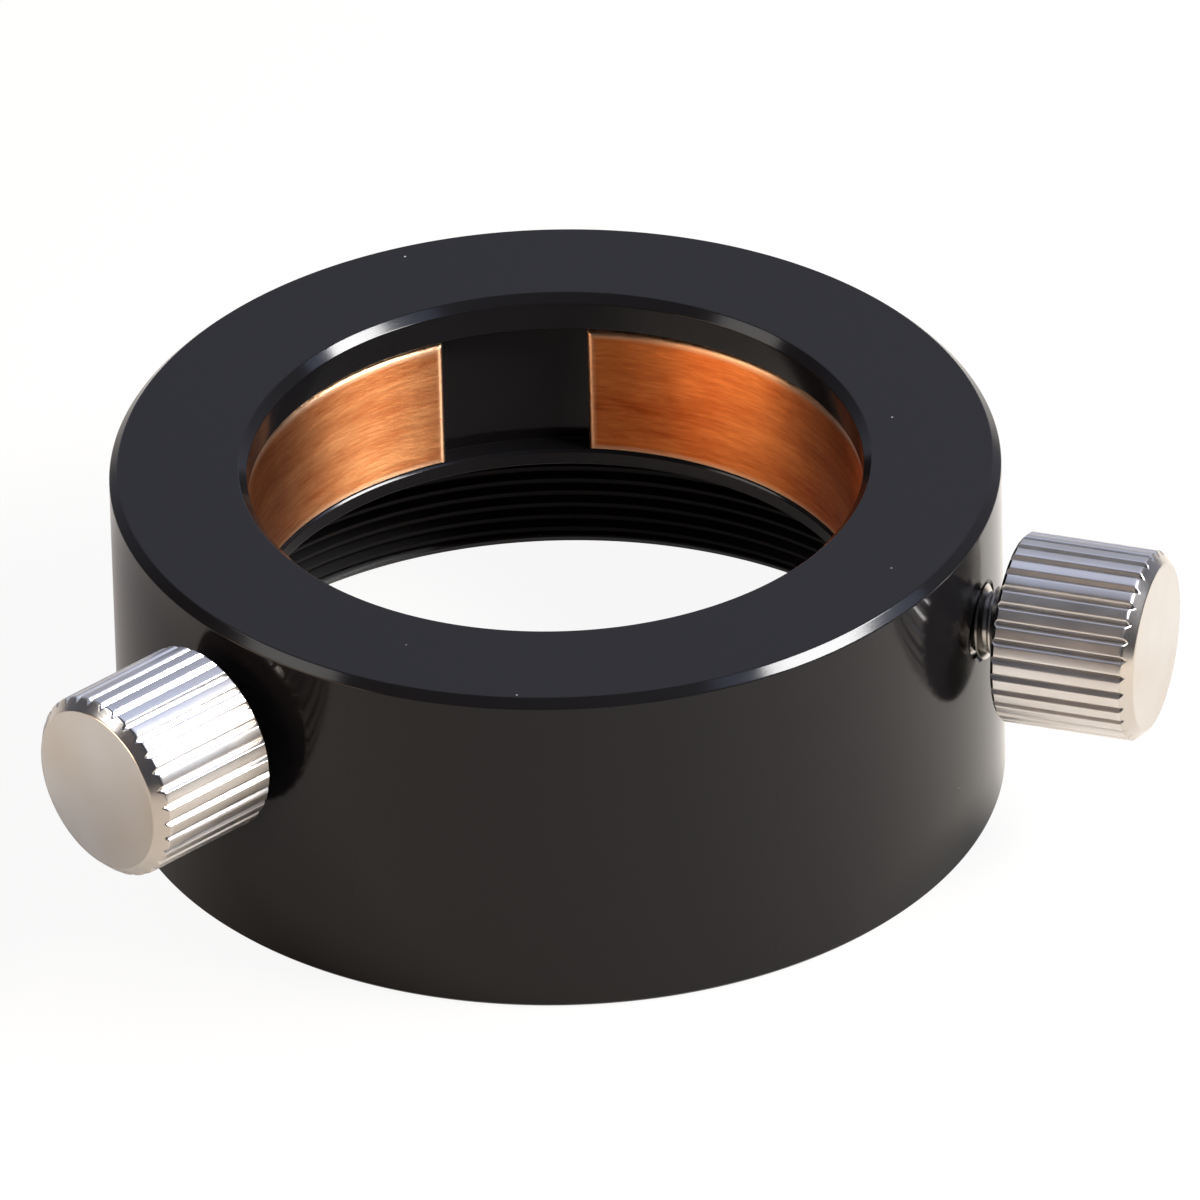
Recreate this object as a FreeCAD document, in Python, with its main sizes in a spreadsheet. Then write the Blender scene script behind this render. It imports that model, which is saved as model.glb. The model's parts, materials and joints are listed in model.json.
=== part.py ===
"""Telescope camera adapter: a 1.25 inch socket with a split clamp strip and two thumbscrews, over a T2 thread.

The origin is the centre of the bottom face and +Z points up the bore, out of the socket.
Lengths are in millimetres and angles in degrees. Angle 0 is +X and angles run anticlockwise
seen from above. The two screws stand either side of -Y, level with the middle of the strip.
"""
import FreeCAD, Part
import Sketcher
import math
import os
import re

V = FreeCAD.Vector
doc = FreeCAD.newDocument("CameraAdapter")

# Driving sizes: alias, value, what it measures
SIZES = (
    ("socket_radius", 15.9, "bore for a 31.75 mm barrel"),
    ("lip_height", 2.1, "bore above the strip's groove, to the top face"),
    ("land_height", 0.9, "bore below the groove"),
    ("thread_radius", 21.0, "T2 thread M42 x 0.75, nominal"),
    ("thread_length", 6.2, "threaded length from the bottom face"),
    ("thread_entry", 0.4, "chamfer at the mouth of the thread"),
    ("relief_depth", 0.25, "undercut behind the thread, beyond its radius"),
    ("relief_length", 2.0, "length of the undercut"),
    ("thread_wall", 1.75, "metal left outside the undercut"),
    ("rim_edge", 0.45, "chamfer round the outside of the top face"),
    ("mouth_edge", 0.3, "chamfer round the inside of the top face"),
    ("base_edge", 0.2, "chamfer round the outside of the bottom face"),
    ("bore_edge", 0.12, "broken edges of the land and the groove"),
    ("strip_height", 7.2, "clamp strip along the bore"),
    ("strip_thickness", 0.9, "clamp strip"),
    ("strip_edge", 0.3, "broken inner edges of the strip"),
    ("strip_recess", 0.1, "strip's face behind the socket bore"),
    ("play_above", 0.2, "free height of the groove above the strip"),
    ("play_behind", 0.2, "free depth of the groove behind the strip"),
    ("gap_direction", 85.5, "middle of the gap between the strip's ends"),
    ("gap_angle", 27.0, "opening of that gap"),
    ("screw_tilt", 30.0, "each screw's turn from the X axis towards -Y"),
    ("shank_radius", 1.95, "M4 shank"),
    ("shank_clearance", 0.05, "shank to its tapped hole, radially"),
    ("shank_tip", 0.5, "chamfer on the shank's end"),
    ("tip_play", 0.1, "turned-in screw's tip to the strip"),
    ("stand_off", 1.2, "ring to the head of the turned-in screw"),
    ("backed_off", 0.55, "how much further out the right screw stands"),
    ("head_radius", 4.95, "over the knurl"),
    ("head_length", 7.5, "head, along the screw"),
    ("head_edge", 0.6, "chamfer round the end face"),
    ("head_back_edge", 0.2, "chamfer round the side that faces the ring"),
    ("knurl_count", 32, "grooves round the head"),
    ("knurl_depth", 0.24, "groove depth"),
    ("knurl_flank", 40.0, "each flank of a groove from its middle plane"),
)
ALIASES = {alias for alias, _, _ in SIZES}

# Places that several pieces share, each worked out from the sizes
GROOVE_FLOOR = "(thread_length + relief_length + land_height)"
GROOVE_ROOF = f"({GROOVE_FLOOR} + strip_height + play_above)"
TOP_FACE = f"({GROOVE_ROOF} + lip_height)"
STRIP_INSIDE = "(socket_radius + strip_recess)"
STRIP_OUTSIDE = f"({STRIP_INSIDE} + strip_thickness)"
RELIEF_RADIUS = "(thread_radius + relief_depth)"
RING_RADIUS = f"({RELIEF_RADIUS} + thread_wall)"
SCREW_HEIGHT = f"({GROOVE_FLOOR} + strip_height / 2)"

sheet = doc.addObject("Spreadsheet::Sheet", "Sizes")
for row, (alias, size, note) in enumerate(SIZES, start=1):
    sheet.set(f"A{row}", note)
    sheet.set(f"B{row}", str(size))
    sheet.setAlias(f"B{row}", alias)
doc.recompute()


def drive(item, prop, text):
    """Bind a property to an expression; each alias in it reads the sheet."""
    expression = re.sub(r"[a-z_]+", lambda word: f"Sizes.{word[0]}" if word[0] in ALIASES else word[0], text)
    item.setExpression(prop, expression)


def origin_item(body, role):
    """The body's own origin plane or axis with that role."""
    return next(item for item in body.Origin.OriginFeatures if item.Role == role)


def new_body(label):
    body = doc.addObject("PartDesign::Body", label)
    body.Label = label
    return body


def new_sketch(body, name, plane):
    sketch = body.newObject("Sketcher::SketchObject", name)
    sketch.AttachmentSupport = [(origin_item(body, plane), "")]
    sketch.MapMode = "FlatFace"
    return sketch


def pin_point(sketch, line, end, across, up):
    """Fix one point of a sketch by two expressions; None puts it on the sketch's own axis."""
    for kind, axis, text in (("DistanceX", -2, across), ("DistanceY", -1, up)):
        if text is None:
            sketch.addConstraint(Sketcher.Constraint("PointOnObject", line, end, axis))
        else:
            index = sketch.addConstraint(Sketcher.Constraint(kind, -1, 1, line, end, 1.0))
            drive(sketch, f"Constraints[{index}]", text)


def draw_outline(sketch, corners):
    """Closed outline of straight lines through corners, each an (across, up) pair of expressions."""
    count = len(corners)
    turns = [2 * math.pi * i / count for i in range(count + 1)]
    start = [V(math.cos(turn), math.sin(turn), 0) for turn in turns]
    for i in range(count):
        sketch.addGeometry(Part.LineSegment(start[i], start[i + 1]), False)
    for i in range(count):
        sketch.addConstraint(Sketcher.Constraint("Coincident", i, 2, (i + 1) % count, 1))
    for i, (across, up) in enumerate(corners):
        pin_point(sketch, i, 1, across, up)


def add_turned(body, kind, name, axis, corners):
    """Turn an outline in the XZ plane about its upright or level axis, adding or cutting metal."""
    sketch = new_sketch(body, f"{name}Section", "XZ_Plane")
    draw_outline(sketch, corners)
    feature = body.newObject(f"PartDesign::{kind}", name)
    feature.Profile = sketch
    feature.ReferenceAxis = (sketch, [axis])
    feature.Angle = 360.0
    doc.recompute()
    return feature


def rings(body):
    """Radius, height and name of each circular edge of the body's last feature."""
    found = []
    for number, edge in enumerate(body.Tip.Shape.Edges, start=1):
        if isinstance(edge.Curve, Part.Circle):
            found.append((edge.Curve.Radius, edge.Curve.Center.z, f"Edge{number}"))
    return found


def is_near(first, second):
    return abs(first - second) < 1e-5


def chamfer_edges(body, name, size, edges):
    """Chamfer the named edges of the body's last feature at 45 degrees."""
    base = body.Tip
    feature = body.newObject("PartDesign::Chamfer", name)
    feature.Base = (base, edges)
    drive(feature, "Size", size)
    doc.recompute()


def check_cuts(body, before, first, every, count):
    """Stop unless the first cut took metal away and the pattern took count times as much."""
    one = before - first.Shape.Volume
    total = before - every.Shape.Volume
    if one <= 0 or abs(total / one - count) > 0.05 * count:
        raise RuntimeError(f"{body.Label}: {every.Label} isn't cut")


def make_adapter_body():
    """Black anodised aluminium ring, turned from bar: socket above, T2 thread below."""
    body = new_body("adapter_body")
    add_turned(body, "Revolution", "Ring", "V_Axis", (
        ("socket_radius", None),
        (RING_RADIUS, None),
        (RING_RADIUS, TOP_FACE),
        ("socket_radius", TOP_FACE),
    ))
    bore = min(radius for radius, _, _ in rings(body))
    outside = max(radius for radius, _, _ in rings(body))
    top = max(height for _, height, _ in rings(body))
    add_turned(body, "Groove", "ThreadRecess", "V_Axis", (
        (None, None),
        ("thread_radius", None),
        ("thread_radius", "thread_length"),
        (RELIEF_RADIUS, "thread_length"),
        (RELIEF_RADIUS, "thread_length + relief_length"),
        (None, "thread_length + relief_length"),
    ))
    thread_mouth = [name for radius, height, name in rings(body) if is_near(height, 0) and radius < outside]
    chamfer_edges(body, "ThreadEntry", "thread_entry", thread_mouth)
    add_turned(body, "Groove", "StripGroove", "V_Axis", (
        (None, GROOVE_FLOOR),
        (f"{STRIP_OUTSIDE} + play_behind", GROOVE_FLOOR),
        (f"{STRIP_OUTSIDE} + play_behind", GROOVE_ROOF),
        (None, GROOVE_ROOF),
    ))
    sharp = [name for radius, height, name in rings(body) if is_near(radius, bore) and height < top]
    chamfer_edges(body, "BoreEdges", "bore_edge", sharp)
    mouth = [name for radius, height, name in rings(body) if is_near(radius, bore) and is_near(height, top)]
    chamfer_edges(body, "MouthEdge", "mouth_edge", mouth)
    rim = [name for radius, height, name in rings(body) if is_near(radius, outside) and is_near(height, top)]
    chamfer_edges(body, "RimEdge", "rim_edge", rim)
    base = [name for radius, height, name in rings(body) if is_near(radius, outside) and is_near(height, 0)]
    chamfer_edges(body, "BaseEdge", "base_edge", base)
    add_screw_holes(body)
    return body


def add_screw_holes(body):
    """One radial tapped hole from the groove to the outside, and its mirror image across X = 0."""
    before = body.Tip.Shape.Volume
    sketch = new_sketch(body, "ScrewHoleSection", "YZ_Plane")
    sketch.AttachmentOffset = FreeCAD.Placement(V(), FreeCAD.Rotation(V(0, -1, 0), 1.0))
    drive(sketch, "AttachmentOffset.Rotation.Angle", "screw_tilt")
    sketch.addGeometry(Part.Circle(V(0, 1, 0), V(0, 0, 1), 1.0), False)
    pin_point(sketch, 0, 3, None, SCREW_HEIGHT)
    index = sketch.addConstraint(Sketcher.Constraint("Radius", 0, 1.0))
    drive(sketch, f"Constraints[{index}]", "shank_radius + shank_clearance")
    hole = body.newObject("PartDesign::Pocket", "ScrewHole")
    hole.Profile = sketch
    hole.Type = "ThroughAll"
    hole.Reversed = True
    doc.recompute()
    pair = body.newObject("PartDesign::Mirrored", "ScrewHolePair")
    pair.Originals = [hole]
    pair.MirrorPlane = (origin_item(body, "YZ_Plane"), [""])
    body.Tip = pair
    doc.recompute()
    check_cuts(body, before, hole, pair, 2)


def make_clamp_strip():
    """Phosphor bronze strip bent to an open ring; it rests on the groove's floor."""
    body = new_body("clamp_band")
    strip = add_turned(body, "Revolution", "Strip", "V_Axis", (
        (STRIP_INSIDE, GROOVE_FLOOR),
        (STRIP_OUTSIDE, GROOVE_FLOOR),
        (STRIP_OUTSIDE, f"{GROOVE_FLOOR} + strip_height"),
        (STRIP_INSIDE, f"{GROOVE_FLOOR} + strip_height"),
    ))
    drive(strip, "Angle", "360 - gap_angle")
    doc.recompute()
    inside = min(math.hypot(corner.X, corner.Y) for corner in strip.Shape.Vertexes)
    inner_edges = []
    for number, edge in enumerate(strip.Shape.Edges, start=1):
        if all(is_near(math.hypot(corner.X, corner.Y), inside) for corner in edge.Vertexes):
            inner_edges.append(f"Edge{number}")
    chamfer_edges(body, "StripEdges", "strip_edge", inner_edges)
    body.Placement = FreeCAD.Placement(V(), FreeCAD.Rotation(V(0, 0, 1), 1.0))
    drive(body, "Placement.Rotation.Angle", "gap_direction + gap_angle / 2")
    return body


def make_thumbscrew(label, turn_axis, turn, extra):
    """Chrome plated brass screw, turned along X from its tip and then swung round to its hole."""
    body = new_body(label)
    tip = f"({STRIP_OUTSIDE} + tip_play + {extra})"
    head = f"({RING_RADIUS} + stand_off + {extra})"
    face = f"({head} + head_length)"
    add_turned(body, "Revolution", "Turned", "H_Axis", (
        (tip, None),
        (tip, "shank_radius - shank_tip"),
        (f"{tip} + shank_tip", "shank_radius"),
        (head, "shank_radius"),
        (head, "head_radius - head_back_edge"),
        (f"{head} + head_back_edge", "head_radius"),
        (f"{face} - head_edge", "head_radius"),
        (face, "head_radius - head_edge"),
        (face, None),
    ))
    add_knurl(body, head)
    body.Placement = FreeCAD.Placement(V(), FreeCAD.Rotation(turn_axis, 1.0))
    drive(body, "Placement.Rotation.Angle", turn)
    drive(body, "Placement.Base.z", SCREW_HEIGHT)
    return body


def add_knurl(body, head):
    """Straight knurl: one V groove along the head, repeated round the screw."""
    before = body.Tip.Shape.Volume
    sketch = new_sketch(body, "KnurlSection", "YZ_Plane")
    drive(sketch, "AttachmentOffset.Base.z", head)
    draw_outline(sketch, (
        (None, "head_radius - knurl_depth"),
        ("2 * knurl_depth * tan(knurl_flank)", "head_radius + knurl_depth"),
        ("-2 * knurl_depth * tan(knurl_flank)", "head_radius + knurl_depth"),
    ))
    groove = body.newObject("PartDesign::Pocket", "KnurlGroove")
    groove.Profile = sketch
    groove.Reversed = True
    drive(groove, "Length", "head_length")
    doc.recompute()
    pattern = body.newObject("PartDesign::PolarPattern", "Knurl")
    pattern.Originals = [groove]
    pattern.Axis = (origin_item(body, "X_Axis"), [""])
    pattern.Angle = 360.0
    drive(pattern, "Occurrences", "knurl_count")
    body.Tip = pattern
    doc.recompute()
    check_cuts(body, before, groove, pattern, pattern.Occurrences)


pieces = (
    make_adapter_body(),
    make_clamp_strip(),
    make_thumbscrew("thumbscrew_left", V(0, 0, 1), "180 + screw_tilt", "0"),
    make_thumbscrew("thumbscrew_right", V(0, 0, -1), "screw_tilt", "backed_off"),
)
doc.recompute()

for item in doc.Objects:
    if {"Invalid", "Error"} & set(item.State):
        raise RuntimeError(f"{item.Label} failed: {item.State}")

os.makedirs("parts", exist_ok=True)
for piece in pieces:
    shape = piece.Shape
    if shape.isNull() or not shape.isValid() or len(shape.Solids) != 1:
        raise RuntimeError(f"{piece.Label} isn't one valid solid")
    shape.exportStep(f"parts/{piece.Label}.step")
    box = shape.BoundBox
    print(
        f"{piece.Label}: {shape.Volume:.1f} mm3, {len(shape.Faces)} faces,",
        f"x {box.XMin:.2f}..{box.XMax:.2f}, y {box.YMin:.2f}..{box.YMax:.2f}, z {box.ZMin:.2f}..{box.ZMax:.2f}",
    )
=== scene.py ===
"""Looks of a telescope camera adapter: anodised ring, bronze clamp strip in its bore and two thumbscrews.

Sizes are in millimetres until they become a mesh, which is in metres. The origin is the centre of the
ring's bottom face, +Z points up the bore, out of the socket, and angles run anticlockwise from +X.
"""
import json
import math

import bmesh
import bpy
import numpy as np
from mathutils import Matrix, Vector


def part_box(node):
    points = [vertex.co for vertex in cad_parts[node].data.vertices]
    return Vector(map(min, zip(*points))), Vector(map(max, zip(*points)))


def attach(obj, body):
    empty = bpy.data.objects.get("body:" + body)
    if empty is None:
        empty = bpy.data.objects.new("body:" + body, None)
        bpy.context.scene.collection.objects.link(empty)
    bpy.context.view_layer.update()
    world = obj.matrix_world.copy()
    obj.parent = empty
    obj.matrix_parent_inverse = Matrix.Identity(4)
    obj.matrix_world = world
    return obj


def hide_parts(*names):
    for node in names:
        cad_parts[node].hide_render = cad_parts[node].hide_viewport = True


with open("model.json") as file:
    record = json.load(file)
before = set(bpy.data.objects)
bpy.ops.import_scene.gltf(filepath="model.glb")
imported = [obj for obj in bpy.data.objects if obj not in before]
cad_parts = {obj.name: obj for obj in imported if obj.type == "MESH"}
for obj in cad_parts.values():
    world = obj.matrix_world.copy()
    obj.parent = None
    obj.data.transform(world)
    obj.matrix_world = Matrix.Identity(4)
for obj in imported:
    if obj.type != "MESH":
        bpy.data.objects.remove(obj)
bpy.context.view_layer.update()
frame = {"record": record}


# The ring. One piece of aluminium bar, bored, grooved and screw-cut on a lathe, then drilled and tapped
# from the side for the two screws, and dyed black in anodising. It stands on its bottom face.

MM = 0.001
mounts = {mount["name"]: mount for mount in frame["record"]["mounts"]}
ring_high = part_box("adapter_body")[1]
strip_low, strip_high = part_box("clamp_band")

RING = ring_high.x / MM
TOP = ring_high.z / MM
SOCKET = mounts["socket"]["dims"]["r_mm"]
THREAD = mounts["camera_thread"]["dims"]["r_mm"]
STRIP_LOW, STRIP_HIGH = strip_low.z / MM, strip_high.z / MM

RIM_EDGE, MOUTH_EDGE, BASE_EDGE, BORE_EDGE = 0.45, 0.45, 0.2, 0.12
GROOVE = 17.1
PLAY_ABOVE_STRIP = 0.2
GROOVE_LOW, GROOVE_HIGH = STRIP_LOW, STRIP_HIGH + PLAY_ABOVE_STRIP
LAND_HEIGHT = 0.9
RELIEF_DEPTH, SHOULDER_WIDTH = 0.25, 0.12
RELIEF = THREAD + RELIEF_DEPTH
SHOULDER = RELIEF - SHOULDER_WIDTH
THREAD_TOP = 6.2
THREAD_ENTRY = 0.4
CAMERA_PITCH = 0.75
DEPTH_PER_PITCH = 0.541
CAMERA_DEPTH = DEPTH_PER_PITCH * CAMERA_PITCH

HOLE_HEIGHT = (STRIP_LOW + STRIP_HIGH) / 2
HOLE_DEGREES = (210, 330)
HOLE_RADIUS, HOLE_MOUTH = 2.0, 2.2
HOLE_POINTS = 40

# One column of faces to a degree, so a hole's direction in degrees is its column too
COLUMNS = 360
turns = np.linspace(0, 2 * math.pi, COLUMNS + 1)


def eased(corners, setback):
    """Section through corners, an array of points whose first and last are only its ends.

    Every other corner becomes a short parabola. It leaves one side and joins the next a setback away from
    the corner, and one more point half a setback further out on each side keeps the flats beside it flat.
    """
    corners = np.asarray(corners, float)
    middle = corners[1:-1]
    setback = np.reshape(setback, (-1,) + (1,) * (corners.ndim - 1))

    def towards(others):
        step = others - middle
        return setback * step / np.linalg.norm(step, axis=-1, keepdims=True)

    before, after = towards(corners[:-2]), towards(corners[2:])
    points, further = 5, 1.5
    share = np.linspace(0, 1, points).reshape((1, points) + (1,) * (corners.ndim - 1))
    arcs = middle[:, None] + (1 - share) ** 2 * before[:, None] + share**2 * after[:, None]
    first, last = middle + further * before, middle + further * after
    runs = np.concatenate((first[:, None], arcs, last[:, None]), 1)
    return np.concatenate((corners[:1], runs.reshape((-1,) + corners.shape[1:]), corners[-1:]))


def turned(section):
    """Grid of a section of (radius, height) rows turned round the Z axis."""
    radius, height = section[:, 0, None], section[:, 1, None]
    return np.stack(np.broadcast_arrays(radius * np.cos(turns), radius * np.sin(turns), height), -1)


def drilled_wall(radius, low, high, cell, mouth):
    """Grid of a round wall with the two screw holes open, and which of its faces stay.

    Rows lie a cell apart, counted from the holes' height. Round each hole the grid's square rings are drawn
    towards circles: a ring keeps a share of its own place, from none at the fifth ring, which lies on the
    hole's edge, to all of it at the ninth, and the faces inside the fifth are left out.
    """
    inner, outer = 5, 9
    # More rows than any wall holds, then those whose distance to its ends isn't too thin for a face
    most, thinnest = 60, 0.3 * cell
    levels = HOLE_HEIGHT + cell * np.arange(-most, most + 1)
    levels = levels[(levels > low + thinnest) & (levels < high - thinnest)]
    middle = int(np.argmin(abs(levels - HOLE_HEIGHT))) + 1
    levels = np.concatenate(([low], levels, [high]))
    height, turn = np.meshgrid(levels, turns, indexing="ij")
    keep = np.ones((len(levels) - 1, COLUMNS), bool)
    for degrees in HOLE_DEGREES:
        hole_turn = math.radians(degrees)
        column = np.arange(COLUMNS + 1)[None] - degrees
        row = np.arange(len(levels))[:, None] - middle
        column, row = np.broadcast_arrays(column, row)
        ring = np.maximum(abs(column), abs(row))
        beside = math.pi / 4 * row / np.where(column == 0, 1, column) + math.pi * (column < 0)
        above = math.pi / 2 - math.pi / 4 * column / np.where(row == 0, 1, row) + math.pi * (row < 0)
        angle = np.where(abs(column) >= abs(row), beside, above)
        share = np.clip((ring - inner) / (outer - inner), 0, 1)
        circle = mouth + (ring - inner) * cell
        across = (1 - share) * circle * np.cos(angle) + share * radius * np.sin(turn - hole_turn)
        up = (1 - share) * circle * np.sin(angle) + share * (height - HOLE_HEIGHT)
        near = (ring >= inner) & (ring < outer)
        turn = np.where(near, hole_turn + np.arcsin(np.clip(across / radius, -1, 1)), turn)
        height = np.where(near, HOLE_HEIGHT + up, height)
        inside = ring < inner
        keep &= ~(inside[1:, 1:] | inside[:-1, 1:] | inside[1:, :-1] | inside[:-1, :-1])
    return np.stack((radius * np.cos(turn), radius * np.sin(turn), height), -1), keep


def hole_bore(degrees):
    """Grid of one screw hole: circles round its axis, from a countersink in the wall in to the groove.

    It has as many points round it as the fifth ring of the walls has, so that they merge.
    """
    turn = math.radians(degrees)
    outwards = np.array([math.cos(turn), math.sin(turn), 0.0])
    sideways = np.array([-math.sin(turn), math.cos(turn), 0.0])
    angle = np.linspace(0, 2 * math.pi, HOLE_POINTS + 1)

    def circle(wall, radius, inwards):
        depth = np.sqrt(wall**2 - (radius * np.cos(angle)) ** 2) - inwards
        ring = depth[:, None] * outwards + (radius * np.cos(angle))[:, None] * sideways
        return ring + (HOLE_HEIGHT + radius * np.sin(angle))[:, None] * (0, 0, 1)

    sink, guard = HOLE_MOUTH - HOLE_RADIUS, 0.1
    return np.stack([
        circle(RING, HOLE_MOUTH, 0),
        circle(RING, HOLE_RADIUS, sink),
        circle(RING, HOLE_RADIUS, sink + guard),
        circle(GROOVE, HOLE_RADIUS, -guard),
        circle(GROOVE, HOLE_RADIUS, 0),
    ])


def helix_rows(start, end, pitch, phases, angle):
    """Where a screw thread's rows lie along it: each climbs one pitch a turn, within the thread's ends."""
    count = math.ceil((end - start) / pitch) + 2
    rows = (np.arange(count)[:, None] + phases).ravel()
    return np.clip(start + pitch * (rows[:, None] - 1 + angle / (2 * math.pi)), start, end)


def ridge_height(place, start, pitch, depth, crest, angle):
    """Height of a 60 degree ridge: full over its flat crest, and down a flank on each side.

    The crest's half width is given in pitches, and each flank is 5/16 of a pitch wide.
    """
    flank = 5 / 16
    phase = ((place - start) / pitch - angle / (2 * math.pi)) % 1
    return depth * np.clip((crest + flank - abs(phase - 0.5)) / flank, 0, 1)


def cut_thread():
    """Grid of the camera thread, from the undercut down to the mouth, where its entry chamfer opens it.

    Its rows, in sixteenths of a pitch, stand at both ends and the middle of the root, crest and flanks.
    """
    phases = np.array((0, 1, 3.5, 6, 8, 10, 12.5, 15)) / 16
    crest = 2 / 16
    height = helix_rows(0, THREAD_TOP, CAMERA_PITCH, phases, turns)[::-1]
    radius = THREAD - ridge_height(height, 0, CAMERA_PITCH, CAMERA_DEPTH, crest, turns)
    radius = np.maximum(radius, THREAD + THREAD_ENTRY - height)
    radius = np.concatenate((np.full((1, COLUMNS + 1), SHOULDER), radius))
    height = np.concatenate((np.full((1, COLUMNS + 1), THREAD_TOP), height))
    return np.stack((radius * np.cos(turns), radius * np.sin(turns), height), -1)


def shaped(name, grids):
    """One object from grids of points in millimetres, merged where they meet.

    A grid's first index runs along its section and its second round the piece. Each cell is a face that
    looks to the right of the section's run, and an array given with a grid says which of its cells stay.
    """
    points, faces, used = [], [], 0
    for grid in grids:
        keep = Ellipsis
        if isinstance(grid, tuple):
            grid, keep = grid
        index = used + np.arange(grid.shape[0] * grid.shape[1]).reshape(grid.shape[:2])
        cells = np.stack((index[:-1, :-1], index[:-1, 1:], index[1:, 1:], index[1:, :-1]), -1)
        points.append(grid.reshape(-1, 3))
        faces.append(cells[keep].reshape(-1, 4))
        used += index.size
    mesh = bpy.data.meshes.new(name)
    mesh.from_pydata(np.concatenate(points) * MM, [], np.concatenate(faces).tolist())
    work = bmesh.new()
    work.from_mesh(mesh)
    bmesh.ops.remove_doubles(work, verts=work.verts, dist=1e-7)
    loose = [corner for corner in work.verts if not corner.link_faces]
    bmesh.ops.delete(work, geom=loose, context="VERTS")
    work.to_mesh(mesh)
    work.free()
    mesh.polygons.foreach_set("use_smooth", np.ones(len(mesh.polygons), bool))
    mesh.set_sharp_from_angle(angle=math.radians(30))
    piece = bpy.data.objects.new(name, mesh)
    bpy.context.scene.collection.objects.link(piece)
    return piece


# Each drilled wall leaves off a seam's width short of its edges, where a turned section goes on
SEAM = 0.1
wall_low, wall_high = BASE_EDGE + SEAM, TOP - RIM_EDGE - SEAM
floor_low, floor_high = GROOVE_LOW + SEAM, GROOVE_HIGH - SEAM
land_low = GROOVE_LOW - LAND_HEIGHT

top_section = eased((
    (RING, wall_high),
    (RING, TOP - RIM_EDGE),
    (RING - RIM_EDGE, TOP),
    (SOCKET + MOUTH_EDGE, TOP),
    (SOCKET, TOP - MOUTH_EDGE),
    (SOCKET, GROOVE_HIGH + BORE_EDGE),
    (SOCKET + BORE_EDGE, GROOVE_HIGH),
    (GROOVE, GROOVE_HIGH),
    (GROOVE, floor_high),
), (0.05, 0.05, 0.04, 0.04, 0.03, 0.03, 0.05))
land_section = eased((
    (GROOVE, floor_low),
    (GROOVE, GROOVE_LOW),
    (SOCKET + BORE_EDGE, GROOVE_LOW),
    (SOCKET, GROOVE_LOW - BORE_EDGE),
    (SOCKET, land_low + BORE_EDGE),
    (SOCKET + BORE_EDGE, land_low),
    (RELIEF, land_low),
    (RELIEF, THREAD_TOP),
    (SHOULDER, THREAD_TOP),
), (0.05, 0.03, 0.03, 0.03, 0.03, 0.1, 0.05))
base_section = eased((
    (THREAD + THREAD_ENTRY, 0),
    (RING - BASE_EDGE, 0),
    (RING, BASE_EDGE),
    (RING, wall_low),
), (0.04, 0.04))

ring = shaped("adapter_ring", [
    drilled_wall(RING, wall_low, wall_high, cell=0.4, mouth=HOLE_MOUTH),
    turned(top_section),
    drilled_wall(GROOVE, floor_low, floor_high, cell=0.3, mouth=HOLE_RADIUS),
    turned(land_section),
    cut_thread(),
    turned(base_section),
    hole_bore(HOLE_DEGREES[0]),
    hole_bore(HOLE_DEGREES[1]),
])
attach(ring, "adapter")
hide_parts("adapter_body")


def linear(colour):
    """Linear RGBA of an sRGB colour written as six hex digits."""
    shades = np.array([int(colour[i:i + 2], 16) for i in (0, 2, 4)]) / 255
    return (*np.where(shades <= 0.04045, shades / 12.92, ((shades + 0.055) / 1.055) ** 2.4), 1.0)


def node(tree, kind, inputs=None, **settings):
    """Add a node: settings are its own properties, and inputs its sockets, each a value or an output."""
    made = tree.nodes.new(kind)
    for name, value in settings.items():
        setattr(made, name, value)
    for name, value in (inputs or {}).items():
        if isinstance(value, bpy.types.NodeSocket):
            tree.links.new(value, made.inputs[name])
        else:
            made.inputs[name].default_value = value
    return made


def new_material(name):
    """A material with an empty node tree, and that tree."""
    material = bpy.data.materials.new(name)
    material.use_nodes = True
    material.node_tree.nodes.clear()
    return material, material.node_tree


def finish_surface(material, tree, surface):
    """The material, once its surface is joined to its output."""
    node(tree, "ShaderNodeOutputMaterial", {"Surface": surface.outputs["BSDF"]})
    return material


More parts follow.
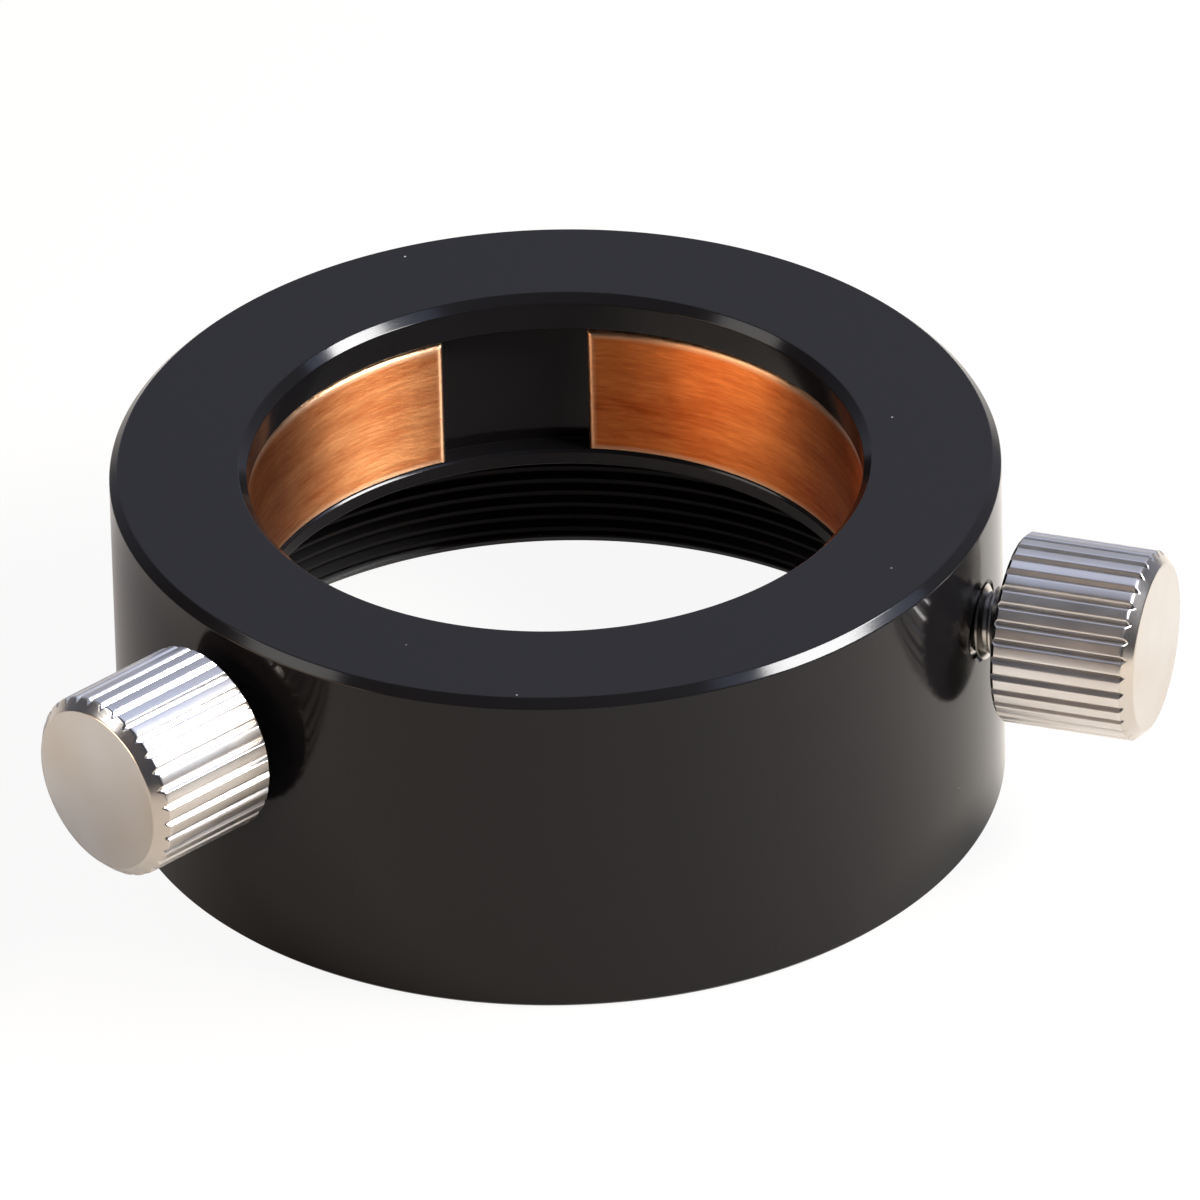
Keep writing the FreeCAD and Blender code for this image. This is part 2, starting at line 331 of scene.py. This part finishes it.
def black_anodising(name, smoothest, roughest):
    """Aluminium dyed black in anodising: a clear hard skin over a dark grey.

    It is near mirror smooth where it was turned at a fine feed, and dull where the thread was cut. Pores
    and dye make it reflect less than clear oxide would, hence the low IOR.
    """
    material, tree = new_material(name)
    place = node(tree, "ShaderNodeTexCoord").outputs["Object"]
    apart = node(tree, "ShaderNodeSeparateXYZ", {"Vector": place})
    out = node(tree, "ShaderNodeVectorMath", {0: place, 1: (1, 1, 0)}, operation="MULTIPLY")
    radius = node(tree, "ShaderNodeVectorMath", {0: out.outputs[0]}, operation="LENGTH")
    # A tool mark follows the turning, so it depends on radius and height and hardly on the way round.
    # Height counts for more than radius, or a 45 degree edge would have one broad mark
    feed = node(tree, "ShaderNodeMath", {
        0: apart.outputs["Z"], 1: 1.37, 2: radius.outputs["Value"],
    }, operation="MULTIPLY_ADD")
    round_ = node(tree, "ShaderNodeVectorMath", {0: out.outputs[0]}, operation="NORMALIZE")
    round_ = node(tree, "ShaderNodeVectorMath", {0: round_.outputs[0], "Scale": 0.0012}, operation="SCALE")
    depth = node(tree, "ShaderNodeCombineXYZ", {"Z": feed.outputs[0]})
    along = node(tree, "ShaderNodeVectorMath", {0: round_.outputs[0], 1: depth.outputs[0]}, operation="ADD")
    # Feed marks 0.14 mm apart and a grain of 0.11 mm, drawn coarser than the real ones so that they show
    marks = node(tree, "ShaderNodeTexNoise", {"Vector": along.outputs[0], "Scale": 7000.0, "Detail": 3.0})
    grain = node(tree, "ShaderNodeTexNoise", {"Vector": place, "Scale": 9000.0, "Detail": 2.0})
    rough = node(tree, "ShaderNodeMapRange", {
        "Value": marks.outputs["Fac"], "To Min": smoothest, "To Max": roughest,
    })
    mixed = node(tree, "ShaderNodeMath", {
        0: grain.outputs["Fac"], 1: 0.35, 2: marks.outputs["Fac"],
    }, operation="MULTIPLY_ADD")
    bump = node(tree, "ShaderNodeBump", {"Strength": 0.1, "Distance": 0.000004, "Height": mixed.outputs[0]})
    # A few specks of dust a tenth of a millimetre across, one to every few hundred square millimetres
    specks = node(tree, "ShaderNodeTexVoronoi", {"Vector": place, "Scale": 900.0})
    chosen = node(tree, "ShaderNodeSeparateColor", {"Color": specks.outputs["Color"]})
    chosen = node(tree, "ShaderNodeMath", {0: chosen.outputs["Red"], 1: 0.98}, operation="GREATER_THAN")
    close = node(tree, "ShaderNodeMapRange", {
        "Value": specks.outputs["Distance"], "From Min": 0.07, "From Max": 0.03,
    })
    dust = node(tree, "ShaderNodeMath", {
        0: chosen.outputs[0], 1: close.outputs["Result"],
    }, operation="MULTIPLY")
    colour = node(tree, "ShaderNodeMix", {
        "Factor": dust.outputs[0], "A": linear("141314"), "B": linear("A3A3A6"),
    }, data_type="RGBA")
    surface = node(tree, "ShaderNodeBsdfPrincipled", {
        "Base Color": colour.outputs["Result"],
        "Roughness": rough.outputs["Result"],
        "IOR": 1.28,
        "Normal": bump.outputs["Normal"],
    })
    return finish_surface(material, tree, surface)


def face_centres(mesh):
    """Centre of each face, in millimetres."""
    centres = np.empty(len(mesh.polygons) * 3, np.float32)
    mesh.polygons.foreach_get("center", centres)
    return centres.reshape(-1, 3) / MM


def below_land(mesh):
    """Which faces are the camera thread and its undercut: those in the bore and lower than the land."""
    centres = face_centres(mesh)
    out = np.hypot(centres[:, 0], centres[:, 1])
    slack = 0.1
    return ((out < RELIEF + slack) & (centres[:, 2] < land_low - slack / 2)).astype(np.int32)


ring.data.materials.append(black_anodising("black_anodised_aluminium", 0.09, 0.15))
ring.data.materials.append(black_anodising("black_anodised_cut_thread", 0.38, 0.5))
ring.data.polygons.foreach_set("material_index", below_land(ring.data))


# The clamp strip. Phosphor bronze strip with its inner edges broken, bent to an open ring and sprung into
# the bore's groove, where the screws press it on to the barrel. It rests on the groove's floor.

STRIP_RECESS, STRIP_THICKNESS = 0.1, 0.9
STRIP_INSIDE = SOCKET + STRIP_RECESS
STRIP_EDGE, STRIP_END = 0.16, 0.35
GAP_MIDDLE, GAP_ANGLE = 85.5, 27.0


def clamp_strip():
    """Two grids of the strip, its front and its back.

    The strip is a slab bent round the bore. A point's depth behind the inner face is the greater of two:
    what a quarter circle gives for its distance from the nearer long edge, and from the nearer end.
    """
    height = STRIP_HIGH - STRIP_LOW
    arc = math.radians(360 - GAP_ANGLE) * STRIP_INSIDE
    start = math.radians(GAP_MIDDLE + GAP_ANGLE / 2)

    def profile(length, cells, edge):
        """Distance from one edge, and depth: a border, even cells, and the border again at the far edge."""
        bend = np.linspace(math.pi / 2, 0, 8)
        quarter = edge * (1 - np.stack((np.sin(bend), np.cos(bend)), -1))
        guard, width = edge + 0.05, 1.0
        border = np.concatenate((((0, STRIP_THICKNESS), (0, guard)), quarter, ((guard, 0), (width, 0))))
        even = np.linspace(width, length - width, cells + 1)[1:-1]
        places = np.concatenate((border[:, 0], even, length - border[::-1, 0]))
        return places, np.concatenate((border[:, 1], np.zeros(len(even)), border[::-1, 1]))

    up, up_depth = profile(height, cells=10, edge=STRIP_EDGE)
    along, along_depth = profile(arc, cells=300, edge=STRIP_END)
    turn = start + along / STRIP_INSIDE

    def bent(levels, depth):
        radius = STRIP_INSIDE + depth
        level = np.broadcast_to((STRIP_LOW + levels)[:, None], radius.shape)
        return np.stack((radius * np.cos(turn), radius * np.sin(turn), level), -1)

    depth = np.maximum(up_depth[:, None], along_depth[None])
    return [bent(up[::-1], depth[::-1]), bent(up, np.full(depth.shape, STRIP_THICKNESS))]


strip = shaped("clamp_strip", clamp_strip())
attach(strip, "adapter")
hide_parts("clamp_band")


def brushed_bronze():
    """Phosphor bronze rubbed along its length with an abrasive pad: warm metal with long fine scratches.

    Its edges were broken with a file and are rubbed by every barrel, so they are drawn paler, partly for
    that wear and partly as a painted highlight along them.
    """
    material, tree = new_material("brushed_phosphor_bronze")
    place = node(tree, "ShaderNodeTexCoord").outputs["Object"]
    apart = node(tree, "ShaderNodeSeparateXYZ", {"Vector": place})
    # Distance from mid-height, in metres, and from the middle of the gap, in radians
    middle = (STRIP_LOW + STRIP_HIGH) / 2 * MM
    rise = node(tree, "ShaderNodeMath", {0: apart.outputs["Z"], 1: middle}, operation="SUBTRACT")
    rise = node(tree, "ShaderNodeMath", {0: rise.outputs[0]}, operation="ABSOLUTE")
    round_ = node(tree, "ShaderNodeMath", {
        0: apart.outputs["Y"], 1: apart.outputs["X"],
    }, operation="ARCTAN2")
    round_ = node(tree, "ShaderNodeMath", {
        0: round_.outputs[0], 1: math.radians(GAP_MIDDLE),
    }, operation="SUBTRACT")
    round_ = node(tree, "ShaderNodeMath", {0: round_.outputs[0]}, operation="ABSOLUTE")
    half = (STRIP_HIGH - STRIP_LOW) / 2 * MM
    long_edge = node(tree, "ShaderNodeMapRange", {
        "Value": rise.outputs[0], "From Min": half - 0.0004, "From Max": half - 0.0001,
    })
    gap_half = math.radians(GAP_ANGLE / 2)
    end_edge = node(tree, "ShaderNodeMapRange", {
        "Value": round_.outputs[0], "From Min": gap_half + 0.03, "From Max": gap_half + 0.01,
    })
    worn_and_glint_edge = node(tree, "ShaderNodeMath", {
        0: long_edge.outputs["Result"], 1: end_edge.outputs["Result"],
    }, operation="MAXIMUM")
    # Scratches 0.24 mm wide and 1.8 mm long round the bore, drawn coarser than the real ones so that they
    # show, on streaks 1.1 mm wide and 13 mm long and under clouds of tarnish 4 mm across
    long_way = node(tree, "ShaderNodeVectorMath", {0: place, 1: (340, 340, 2600)}, operation="MULTIPLY")
    fine = node(tree, "ShaderNodeTexNoise", {
        "Vector": long_way.outputs[0], "Scale": 1.6, "Detail": 5.0, "Roughness": 0.65,
    })
    broad_way = node(tree, "ShaderNodeVectorMath", {0: place, 1: (60, 60, 700)}, operation="MULTIPLY")
    broad = node(tree, "ShaderNodeTexNoise", {"Vector": broad_way.outputs[0], "Scale": 1.3, "Detail": 3.0})
    tarnish = node(tree, "ShaderNodeTexNoise", {"Vector": place, "Scale": 260.0, "Detail": 3.0})
    streak = node(tree, "ShaderNodeMix", {
        "Factor": 0.45, "A": fine.outputs["Fac"], "B": broad.outputs["Fac"],
    })
    tone = node(tree, "ShaderNodeMath", {
        0: tarnish.outputs["Fac"], 1: 0.4, 2: streak.outputs["Result"],
    }, operation="MULTIPLY_ADD")
    tone = node(tree, "ShaderNodeMapRange", {"Value": tone.outputs[0], "From Min": 0.46, "From Max": 0.94})
    window_highlight_pale = node(tree, "ShaderNodeMix", {
        "Factor": tone.outputs["Result"], "A": linear("964A20"), "B": linear("D69760"),
    }, data_type="RGBA")
    bounce_lit_deep = node(tree, "ShaderNodeMix", {
        "Factor": tone.outputs["Result"], "A": linear("B04A18"), "B": linear("EE924C"),
    }, data_type="RGBA")
    # Painted light: the left half is drawn paler for the window's highlight on it, and the right half a
    # deeper orange for light the bronze bounces across the bore
    painted_light_side = node(tree, "ShaderNodeMapRange", {
        "Value": apart.outputs["X"], "From Min": -0.004, "From Max": 0.006,
    })
    colour = node(tree, "ShaderNodeMix", {
        "Factor": painted_light_side.outputs["Result"], "A": window_highlight_pale.outputs["Result"], "B": bounce_lit_deep.outputs["Result"],
    }, data_type="RGBA")
    # Paler edges: partly rubbed wear, partly a painted highlight along the edges
    colour = node(tree, "ShaderNodeMix", {
        "Factor": worn_and_glint_edge.outputs[0], "A": colour.outputs["Result"], "B": linear("E2B48C"),
    }, data_type="RGBA")
    rough = node(tree, "ShaderNodeMapRange", {"Value": fine.outputs["Fac"], "To Min": 0.47, "To Max": 0.37})
    # Scratches round the bore spread a highlight up and down the strip
    across = node(tree, "ShaderNodeCombineXYZ", {"Z": 1.0})
    bump = node(tree, "ShaderNodeBump", {
        "Strength": 0.8, "Distance": 0.00012, "Height": streak.outputs["Result"],
    })
    surface = node(tree, "ShaderNodeBsdfPrincipled", {
        "Base Color": colour.outputs["Result"],
        "Metallic": 1.0,
        "Roughness": rough.outputs["Result"],
        "Anisotropic": 0.95,
        "Tangent": across.outputs["Vector"],
        "Normal": bump.outputs["Normal"],
    })
    return finish_surface(material, tree, surface)


strip.data.materials.append(brushed_bronze())


# The two thumbscrews. Each is turned from one piece of brass, with an M4 shank and a straight-knurled head
# whose edges are chamfered after knurling, and is nickel plated. It screws in from the side to the strip.

SCREW_NODES = ("thumbscrew_left", "thumbscrew_right")
SCREW_BODIES = ("left_screw", "right_screw")
SHANK = 1.95
SHANK_PITCH = 0.7
SHANK_DEPTH = 0.36
TIP_EDGE = 0.5
HEAD = 4.95
HEAD_LENGTH = 7.5
FACE_EDGE, BACK_EDGE = 0.6, 0.2
KNURLS = 32
KNURL_DEPTH, KNURL_FLANK = 0.24, 40.0

# The left screw is turned in, and the right one stands further out
TIP_PLAY, STAND_OFF, BACKED_OFF = 0.1, 1.2, 0.55
turned_in_tip, turned_in_head = STRIP_INSIDE + STRIP_THICKNESS + TIP_PLAY, RING + STAND_OFF
TIPS = (turned_in_tip, turned_in_tip + BACKED_OFF)
HEADS = (turned_in_head, turned_in_head + BACKED_OFF)


def round_axis(place, radius, angle):
    """Grid of points at a place along the screw's axis, +X, and a radius and angle round it."""
    place, radius, angle = np.broadcast_arrays(place, radius, angle)
    return np.stack((place, radius * np.cos(angle), radius * np.sin(angle)), -1)


def shank(tip, head):
    """Grid of the threaded shank from its chamfered tip to just inside the head, closed at both ends.

    The thread runs out short of the head, and its core goes on into it.
    """
    angle = np.linspace(0, 2 * math.pi, 73)
    phases = np.array((0, 2, 4.5, 7, 9, 11.5, 14)) / 16
    crest, runout, inside = 1 / 16, 0.25, 0.3
    core = SHANK - SHANK_DEPTH
    place = helix_rows(tip, head - runout, SHANK_PITCH, phases, angle)
    ridge = core + ridge_height(place, tip, SHANK_PITCH, SHANK_DEPTH, crest, angle)
    radius = np.minimum(ridge, SHANK - TIP_EDGE + place - tip)
    ends = np.array(((tip, 0), (head - runout, core), (head + inside, core), (head + inside, 0)))
    ends = ends[..., None] * np.ones(len(angle))
    place = np.concatenate((ends[:1, 0], place, ends[1:, 0]))
    radius = np.concatenate((ends[:1, 1], radius, ends[1:, 1]))
    return round_axis(place, radius, angle)


def knurled_head(head):
    """Grid of the head, whose section reaches as far out at each angle as the knurl does there.

    The knurl's depth is a V in angle, repeated all the way round. Two square roots ease it: one the V's
    bottom, the other its lips, where the last of the easing is trimmed off. Where the head's chamfers
    reach the knurl's own radius they stop, which gives them their scalloped edge.
    """
    pitch = 2 * math.pi * HEAD / KNURLS
    half = KNURL_DEPTH * math.tan(math.radians(KNURL_FLANK)) / pitch
    # Columns across one groove, closest at its lips and its bottom
    columns = np.array((
        -0.5, -0.4, -0.3, -0.24, -0.207, -0.17, -0.1, -0.03, 0, 0.03, 0.1, 0.17, 0.207, 0.24, 0.3, 0.4,
    ))
    across = np.append((np.arange(KNURLS)[:, None] + columns).ravel(), KNURLS - 0.5)
    angle = 2 * math.pi * across / KNURLS
    offset = abs(across - np.round(across)) / half
    bottom_ease, lip_ease, trim = 0.01, 0.02, 0.004
    wall = 1 - np.sqrt(offset**2 + bottom_ease)
    depth = KNURL_DEPTH * np.maximum(0, (wall + np.sqrt(wall**2 + lip_ease)) / 2 - trim)
    reach = HEAD - np.minimum(depth, KNURL_DEPTH)
    face = head + HEAD_LENGTH
    hub, least_edge = 0.5, 0.03
    back_edge = np.minimum(HEAD - BACK_EDGE, reach - least_edge)
    level = np.ones(len(angle))
    corners = np.stack([
        np.stack((head * level, hub * level), -1),
        np.stack((head * level, back_edge), -1),
        np.stack((head + reach - back_edge, reach), -1),
        np.stack((face - (reach - HEAD + FACE_EDGE), reach), -1),
        np.stack((face * level, (HEAD - FACE_EDGE) * level), -1),
        np.stack((face * level, hub * level), -1),
    ])
    section = eased(corners, (0.01, 0.01, 0.12, 0.08))
    pole = np.zeros((1, len(angle)))
    place = np.concatenate((pole + head, section[..., 0], pole + face))
    radius = np.concatenate((pole, section[..., 1], pole))
    return round_axis(place, radius, angle)


def thumbscrew(name, tip, head, degrees):
    """The screw, swung out to its hole's direction and lifted to its height."""
    swing = np.array(Matrix.Rotation(math.radians(degrees), 3, "Z"))
    lift = np.array((0, 0, HOLE_HEIGHT))
    return shaped(name, [grid @ swing.T + lift for grid in (shank(tip, head), knurled_head(head))])


def nickel_plate(name, clean, bloomed, smoothest, roughest):
    """Nickel plate over brass: a warm white metal with a faint brownish bloom from handling.

    It is smooth but faintly uneven where the brass was turned, and satin where it was knurled.
    """
    material, tree = new_material(name)
    place = node(tree, "ShaderNodeTexCoord").outputs["Object"]
    # Patches of bloom 9 mm across, waves of 1.1 mm that the plating left, and a grain of 0.17 mm, which is
    # drawn coarser than the real one so that it shows
    bloom = node(tree, "ShaderNodeTexNoise", {"Vector": place, "Scale": 110.0, "Detail": 2.0})
    bloom = node(tree, "ShaderNodeMapRange", {
        "Value": bloom.outputs["Fac"], "From Min": 0.3, "From Max": 0.75,
    })
    colour = node(tree, "ShaderNodeMix", {
        "Factor": bloom.outputs["Result"], "A": linear(clean), "B": linear(bloomed),
    }, data_type="RGBA")
    uneven = node(tree, "ShaderNodeTexNoise", {"Vector": place, "Scale": 900.0, "Detail": 2.0})
    fine = node(tree, "ShaderNodeTexNoise", {"Vector": place, "Scale": 6000.0, "Detail": 3.0})
    mixed = node(tree, "ShaderNodeMath", {
        0: fine.outputs["Fac"], 1: 0.2, 2: uneven.outputs["Fac"],
    }, operation="MULTIPLY_ADD")
    bump = node(tree, "ShaderNodeBump", {"Strength": 0.25, "Distance": 0.00003, "Height": mixed.outputs[0]})
    rough = node(tree, "ShaderNodeMapRange", {
        "Value": uneven.outputs["Fac"], "To Min": smoothest, "To Max": roughest,
    })
    surface = node(tree, "ShaderNodeBsdfPrincipled", {
        "Base Color": colour.outputs["Result"],
        "Metallic": 1.0,
        "Roughness": rough.outputs["Result"],
        "Normal": bump.outputs["Normal"],
    })
    return finish_surface(material, tree, surface)


def on_knurl(mesh, head, degrees):
    """Which faces lie between the head's chamfers: by their distance along the screw's axis and from it."""
    centres = face_centres(mesh) - (0, 0, HOLE_HEIGHT)
    turn = math.radians(degrees)
    along = centres @ (math.cos(turn), math.sin(turn), 0)
    out = np.sqrt((centres**2).sum(1) - along**2)
    low, high = head + BACK_EDGE / 2, head + HEAD_LENGTH - FACE_EDGE
    slack = 0.02
    return ((out > HEAD - KNURL_DEPTH - slack) & (along > low) & (along < high)).astype(np.int32)


# One plate drawn in two shades: the turned faces darker and the knurl lighter, painted shade and painted
# light rather than a difference in the metal
turned_nickel = nickel_plate("bright_nickel_on_turned_brass", "C0BEBD", "ACA090", 0.16, 0.26)
knurled_nickel = nickel_plate("satin_nickel_on_knurled_brass", "D0CFD0", "BCB3A8", 0.28, 0.38)
for cad_node, body, tip, head, degrees in zip(SCREW_NODES, SCREW_BODIES, TIPS, HEADS, HOLE_DEGREES):
    screw = thumbscrew(cad_node + "_knurled", tip, head, degrees)
    screw.data.materials.append(turned_nickel)
    screw.data.materials.append(knurled_nickel)
    screw.data.polygons.foreach_set("material_index", on_knurl(screw.data, head, degrees))
    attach(screw, body)
    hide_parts(cad_node)


# The set. A plain off-white floor under the ring. A near window on the right with cool sky round it, a
# reflector and a low warm room lamp on the left, a softbox overhead, and a dim cool room that is brighter
# at the back.

FLOOR_HALF = 1500.0
corner = np.array((-FLOOR_HALF, FLOOR_HALF))
floor = shaped("studio_floor", [np.stack(np.broadcast_arrays(corner[None], corner[:, None], 0.0), -1)])

# Off-white paper, matt, so that it keeps the ring's soft shadow. The camera sees it near pure white, and
# polished surfaces see a little of that
material, tree = new_material("off_white_paper")
lit = node(tree, "ShaderNodeBsdfDiffuse", {"Color": linear("E2DACD")})
white = node(tree, "ShaderNodeEmission", {"Color": linear("FFFFFF"), "Strength": 1.0})
path = node(tree, "ShaderNodeLightPath")
direct = node(tree, "ShaderNodeMath", {
    0: path.outputs["Is Camera Ray"], 1: path.outputs["Is Transmission Ray"],
}, operation="MAXIMUM")
direct = node(tree, "ShaderNodeMath", {0: direct.outputs[0], 1: 0.92}, operation="MULTIPLY")
seen = node(tree, "ShaderNodeMath", {
    0: path.outputs["Is Glossy Ray"], 1: 0.18, 2: direct.outputs[0],
}, operation="MULTIPLY_ADD")
paper = node(tree, "ShaderNodeMixShader", {"Fac": seen.outputs[0], 1: lit.outputs[0], 2: white.outputs[0]})
node(tree, "ShaderNodeOutputMaterial", {"Surface": paper.outputs["Shader"]})
floor.data.materials.append(material)


def soft_lamp(name, azimuth, elevation, distance, width, height, watts, colour):
    """A rectangular lamp that faces the ring, from a direction in degrees and a distance in millimetres."""
    turn, rise = math.radians(azimuth), math.radians(elevation)
    away = Vector((math.cos(turn) * math.cos(rise), math.sin(turn) * math.cos(rise), math.sin(rise)))
    light = bpy.data.lights.new(name, "AREA")
    light.shape = "RECTANGLE"
    light.size, light.size_y = width * MM, height * MM
    light.energy = watts
    light.color = linear(colour)[:3]
    lamp = bpy.data.objects.new(name, light)
    facing = away.to_track_quat("Z", "Y").to_matrix().to_4x4()
    lamp.matrix_world = Matrix.Translation(away * distance * MM) @ facing
    bpy.context.scene.collection.objects.link(lamp)


soft_lamp("window_right", -23, 44, 300, 144, 60, 1.66, "FFFEFC")
soft_lamp("sky_right", -22, 45, 330, 257, 160, 0.3, "BCCEFF")
soft_lamp("reflector_left", 176, 43, 450, 190, 90, 0.28, "FFFCF8")
soft_lamp("room_lamp_left", 193, 16, 400, 280, 110, 0.78, "FFDCBC")
soft_lamp("ceiling_softbox", 62, 74, 700, 560, 520, 0.6, "CCDAFF")

world = bpy.data.worlds.new("dim_room")
world.use_nodes = True
room = world.node_tree
room.nodes.clear()
towards = node(room, "ShaderNodeTexCoord").outputs["Generated"]
behind = node(room, "ShaderNodeVectorMath", {0: towards, 1: (0.17, 0.82, 0.545)}, operation="DOT_PRODUCT")
level = node(room, "ShaderNodeMapRange", {
    "Value": behind.outputs["Value"], "From Min": 0.5, "From Max": 0.85, "To Min": 0.12, "To Max": 0.7,
})
sky = node(room, "ShaderNodeBackground", {"Color": linear("DCE2F8"), "Strength": level.outputs["Result"]})
node(room, "ShaderNodeOutputWorld", {"Surface": sky.outputs["Background"]})
bpy.context.scene.world = world


# The camera. A long lens about 1.2 m away, a third of a right angle above the table and a little to the
# left of square, with the small tilts that a hand-held frame has.

VIEW_AZIMUTH, VIEW_ELEVATION = -11.6, 32.7
VIEW_DISTANCE = 1169.0
YAW, PITCH, ROLL = 0.105, -0.026, 1.473
FOCAL_PIXELS, FRAME_PIXELS = 22592.0, 1200.0

turn, rise = math.radians(VIEW_AZIMUTH), math.radians(VIEW_ELEVATION)
back = Vector((math.sin(turn) * math.cos(rise), -math.cos(turn) * math.cos(rise), math.sin(rise)))
aim = back.to_track_quat("Z", "Y").to_matrix()
for degrees, axis in ((PITCH, "X"), (YAW, "Y"), (ROLL, "Z")):
    aim = aim @ Matrix.Rotation(math.radians(-degrees), 3, axis)
lens = bpy.data.cameras.new("long_lens")
lens.sensor_width = 36.0
lens.lens = FOCAL_PIXELS / FRAME_PIXELS * lens.sensor_width
lens.clip_start, lens.clip_end = 0.1, 20.0
camera = bpy.data.objects.new("camera", lens)
centre = Vector((0, 0, TOP / 2))
camera.matrix_world = Matrix.Translation((centre + back * VIEW_DISTANCE) * MM) @ aim.to_4x4()
bpy.context.scene.collection.objects.link(camera)
bpy.context.scene.camera = camera
bpy.context.scene.view_settings.view_transform = "Standard"
